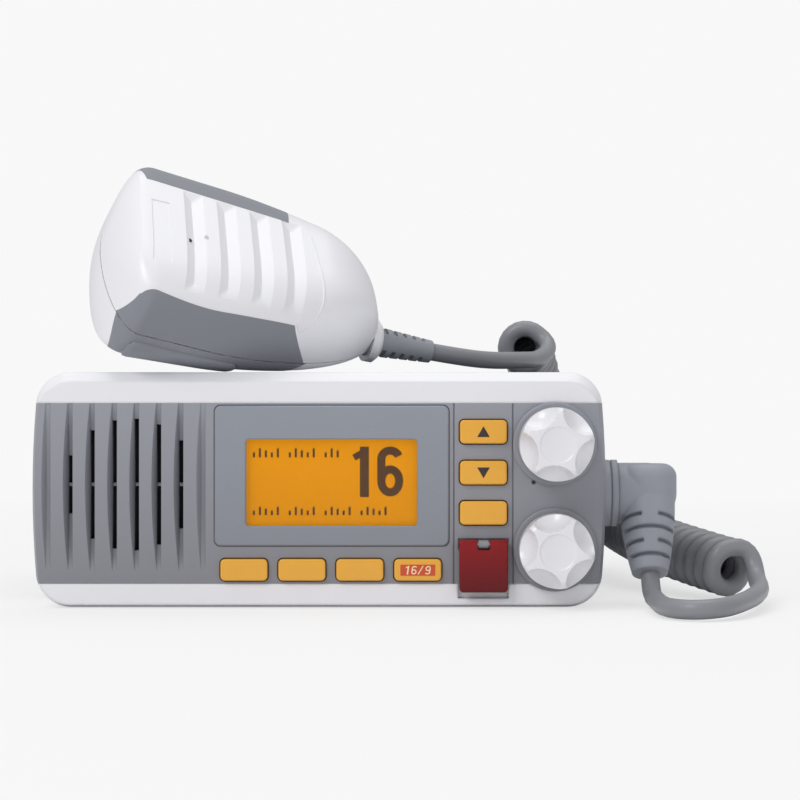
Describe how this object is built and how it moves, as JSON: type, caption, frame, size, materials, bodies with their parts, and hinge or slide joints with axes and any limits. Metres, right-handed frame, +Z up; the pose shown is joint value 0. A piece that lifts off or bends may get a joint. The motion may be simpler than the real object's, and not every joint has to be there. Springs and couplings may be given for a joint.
{
  "type": "marine vhf radio with microphone",
  "caption": "Fixed-mount marine radio with speaker grille, amber display, keys and knobs, and a fist microphone on a coiled cord lying on its top.",
  "frame": {"origin": "centre of the radio body on the flat face it stands on", "axes": "+X to the right seen from the front, +Y to the back along the antenna socket, +Z up"},
  "size_m": [0.2142, 0.2377, 0.1291],
  "materials": {
    "white_plastic": "smooth satin moulding",
    "panel_gray": "fine satin gray",
    "frame_gray": "smooth gray bezel",
    "clear_lens": "clear window",
    "lcd_amber": "backlit amber display",
    "key_amber": "satin amber key tops",
    "distress_red": "red key",
    "cover_red": "translucent red",
    "keypad_rubber": "matt rubber",
    "knob_white": "smooth white knob",
    "steel": "plain steel",
    "black_plastic": "matt black",
    "circuit_board": "green circuit board",
    "speaker_cloth": "woven acoustic cloth",
    "cone_paper": "coated paper cone",
    "magnet_metal": "plain magnet",
    "case_metal": "fine textured gray paint on a die casting",
    "aluminium": "plain",
    "nickel": "nickel plated",
    "brass": "plain brass",
    "insulator": "white insulator",
    "grip_gray": "soft satin gray",
    "cord_rubber": "matt bluish gray",
    "cord_gray": "satin gray cord jacket"
  },
  "bodies": {
    "radio": {"antenna_contact": "brass", "antenna_insulator": "insulator", "antenna_socket": "nickel", "bottom_cover": "case_metal", "bottom_screws": "steel", "bracket_inserts": "brass", "case_gasket": "keypad_rubber", "case_screws": "steel", "chassis": "case_metal", "cord_boot": "cord_rubber", "cord_coil": "cord_gray", "cord_lead_mic": "cord_gray", "cord_lead_radio": "cord_gray", "cord_socket": "cord_rubber", "display_frame": "frame_gray", "display_lens": "clear_lens", "face_panel": "panel_gray", "front_board": "circuit_board", "front_housing": "white_plastic", "heat_sink": "aluminium", "hinge_pin": "steel", "key_switches": "black_plastic", "keypad_mat": "keypad_rubber", "knob_collars": "panel_gray", "lcd_glass": "lcd_amber", "lcd_module": "lcd_amber", "main_board": "circuit_board", "power_amplifier": "black_plastic", "rear_glands": "black_plastic", "rf_shield": "aluminium", "speaker_cloth": "speaker_cloth", "speaker_cone": "cone_paper", "speaker_frame": "steel", "speaker_magnet": "magnet_metal", "squelch_pot": "black_plastic", "volume_pot": "black_plastic"},
    "key_1_body": {"key_1": "key_amber"},
    "key_2_body": {"key_2": "key_amber"},
    "key_3_body": {"key_3": "key_amber"},
    "key_4_body": {"key_4": "key_amber"},
    "key_up_body": {"key_up": "key_amber"},
    "key_down_body": {"key_down": "key_amber"},
    "key_enter_body": {"key_enter": "key_amber"},
    "distress_key_body": {"distress_key": "distress_red"},
    "distress_cover_body": {"distress_cover": "cover_red"},
    "volume_body": {"volume_knob": "knob_white", "volume_shaft": "steel"},
    "squelch_body": {"squelch_knob": "knob_white", "squelch_shaft": "steel"},
    "microphone": {"mic_front_shell": "white_plastic", "mic_rear_shell": "white_plastic", "mic_front_grips": "grip_gray", "mic_rear_grips": "grip_gray", "mic_hang_stud": "grip_gray", "mic_board": "circuit_board", "mic_capsule": "magnet_metal", "ptt_switch": "black_plastic", "mic_screws": "steel", "mic_boot": "cord_rubber"},
    "ptt_body": {"ptt_button": "grip_gray"}
  },
  "joints": [
    {"name": "key_1_press", "type": "slide", "parent": "radio", "child": "key_1_body", "axis": [0, 1, 0], "range_m": [0, 0.0007], "stiffness_N_per_m": 400},
    {"name": "key_2_press", "type": "slide", "parent": "radio", "child": "key_2_body", "axis": [0, 1, 0], "range_m": [0, 0.0007], "stiffness_N_per_m": 400},
    {"name": "key_3_press", "type": "slide", "parent": "radio", "child": "key_3_body", "axis": [0, 1, 0], "range_m": [0, 0.0007], "stiffness_N_per_m": 400},
    {"name": "key_4_press", "type": "slide", "parent": "radio", "child": "key_4_body", "axis": [0, 1, 0], "range_m": [0, 0.0007], "stiffness_N_per_m": 400},
    {"name": "key_up_press", "type": "slide", "parent": "radio", "child": "key_up_body", "axis": [0, 1, 0], "range_m": [0, 0.0007], "stiffness_N_per_m": 400},
    {"name": "key_down_press", "type": "slide", "parent": "radio", "child": "key_down_body", "axis": [0, 1, 0], "range_m": [0, 0.0007], "stiffness_N_per_m": 400},
    {"name": "key_enter_press", "type": "slide", "parent": "radio", "child": "key_enter_body", "axis": [0, 1, 0], "range_m": [0, 0.0007], "stiffness_N_per_m": 400},
    {"name": "distress_key_press", "type": "slide", "parent": "radio", "child": "distress_key_body", "axis": [0, 1, 0], "range_m": [0, 0.0007], "stiffness_N_per_m": 400},
    {"name": "distress_cover_open", "type": "hinge", "parent": "radio", "child": "distress_cover_body", "pos_m": [0.0472, -0.0819, 0.0182], "axis": [-1, 0, 0], "range_deg": [0, 110], "stiffness_Nm_per_rad": 0.004},
    {"name": "volume_turn", "type": "hinge", "parent": "radio", "child": "volume_body", "pos_m": [0.0677, -0.085, 0.0469], "axis": [0, 1, 0], "range_deg": [-150, 150]},
    {"name": "squelch_turn", "type": "hinge", "parent": "radio", "child": "squelch_body", "pos_m": [0.0677, -0.085, 0.01665], "axis": [0, 1, 0], "range_deg": [-150, 150]},
    {"name": "microphone_lift", "type": "slide", "parent": "radio", "child": "microphone", "axis": [0, 0, 1], "range_m": [0, 0.04]},
    {"name": "ptt_press", "type": "slide", "parent": "microphone", "child": "ptt_body", "axis": [-0.1059, 0.756, 0.646], "range_m": [0, 0.0014], "stiffness_N_per_m": 500}
  ]
}
